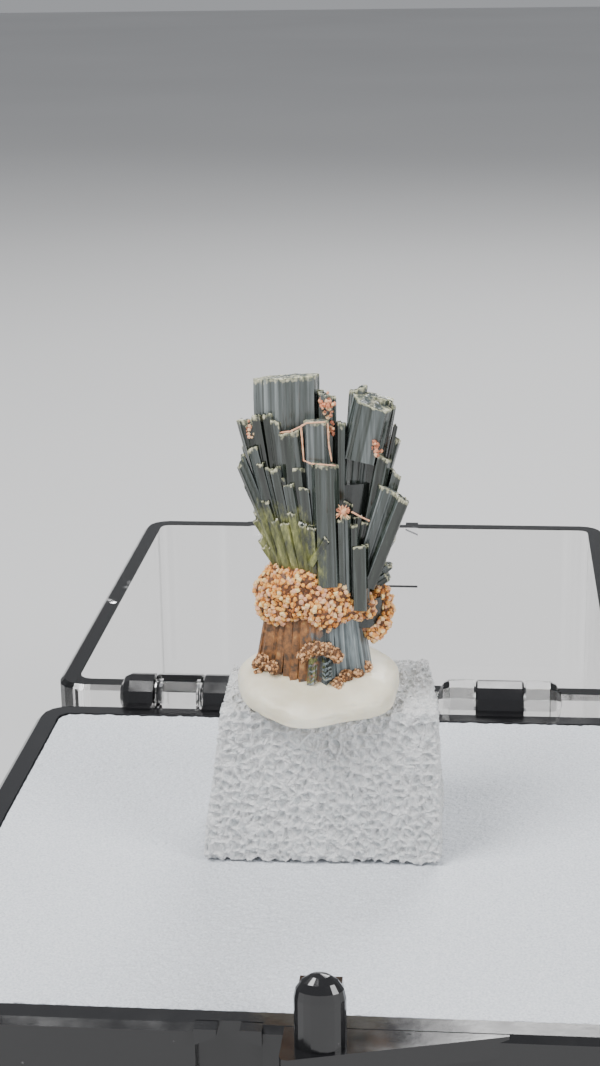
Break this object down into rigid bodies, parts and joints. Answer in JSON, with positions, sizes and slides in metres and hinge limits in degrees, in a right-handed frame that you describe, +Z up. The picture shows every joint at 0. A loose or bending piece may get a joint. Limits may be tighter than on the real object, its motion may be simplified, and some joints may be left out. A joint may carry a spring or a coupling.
{
  "type": "epidote crystal specimen in a display box",
  "caption": "Epidote crystal group on putty and a foam block, standing in a small hinged display box that lies open.",
  "frame": {"origin": "middle of the underside of the box's base", "axes": "+Z up, +X to the right seen from the latch side, +Y from the latch to the hinge"},
  "size_m": [0.0318, 0.0704, 0.0451],
  "materials": {
    "black_plastic": "polished black styrene",
    "clear_plastic": "clear styrene",
    "pad_foam": "fine white foam",
    "block_foam": "coarse white foam, cut by hand",
    "putty_wax": "cream mounting putty",
    "epidote_green": "glossy green-black crystal faces with rusty crust"
  },
  "bodies": {
    "base": {"box_base": "black_plastic", "foam_pad": "pad_foam", "foam_block": "block_foam", "putty": "putty_wax", "epidote": "epidote_green"},
    "lid": {"lid": "clear_plastic"}
  },
  "joints": [
    {"name": "lid_hinge", "type": "hinge", "parent": "base", "child": "lid", "pos_m": [0, 0.01723, 0.0235], "axis": [1, 0, 0], "range_deg": [0, 180]}
  ]
}
